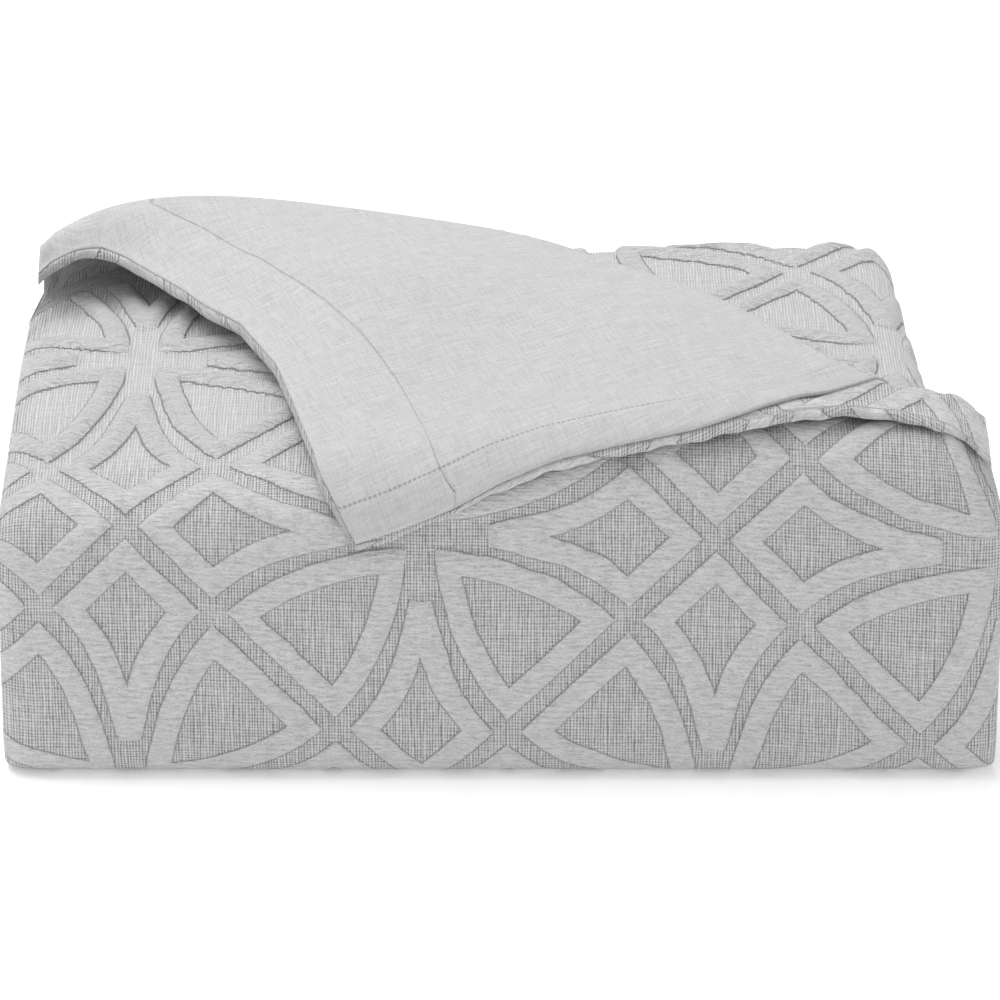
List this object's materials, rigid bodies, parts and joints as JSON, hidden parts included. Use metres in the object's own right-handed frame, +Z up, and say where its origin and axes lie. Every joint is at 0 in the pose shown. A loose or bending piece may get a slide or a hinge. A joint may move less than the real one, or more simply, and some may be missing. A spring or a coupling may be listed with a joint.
{
  "type": "folded duvet",
  "caption": "Filled duvet folded into a thick pile, woven raised lattice on its face, one corner of the top layer turned back to show the plain lining",
  "frame": {"origin": "centre of the flat underside, on the surface the pile rests on", "axes": "+X along the folded width, -Y towards the tall rounded front, +Z up"},
  "size_m": [0.57, 0.3292, 0.2693],
  "materials": {
    "face_cloth": "double-woven cotton with puffed pale bands on an open grey ground",
    "lining_cloth": "plain light grey linen weave with slubs",
    "facing_cloth": "plain light grey linen weave with slubs, topstitched"
  },
  "bodies": {
    "root": {"duvet_body": "face_cloth", "lining_panel": "lining_cloth", "facing_strip": "facing_cloth"}
  },
  "joints": []
}
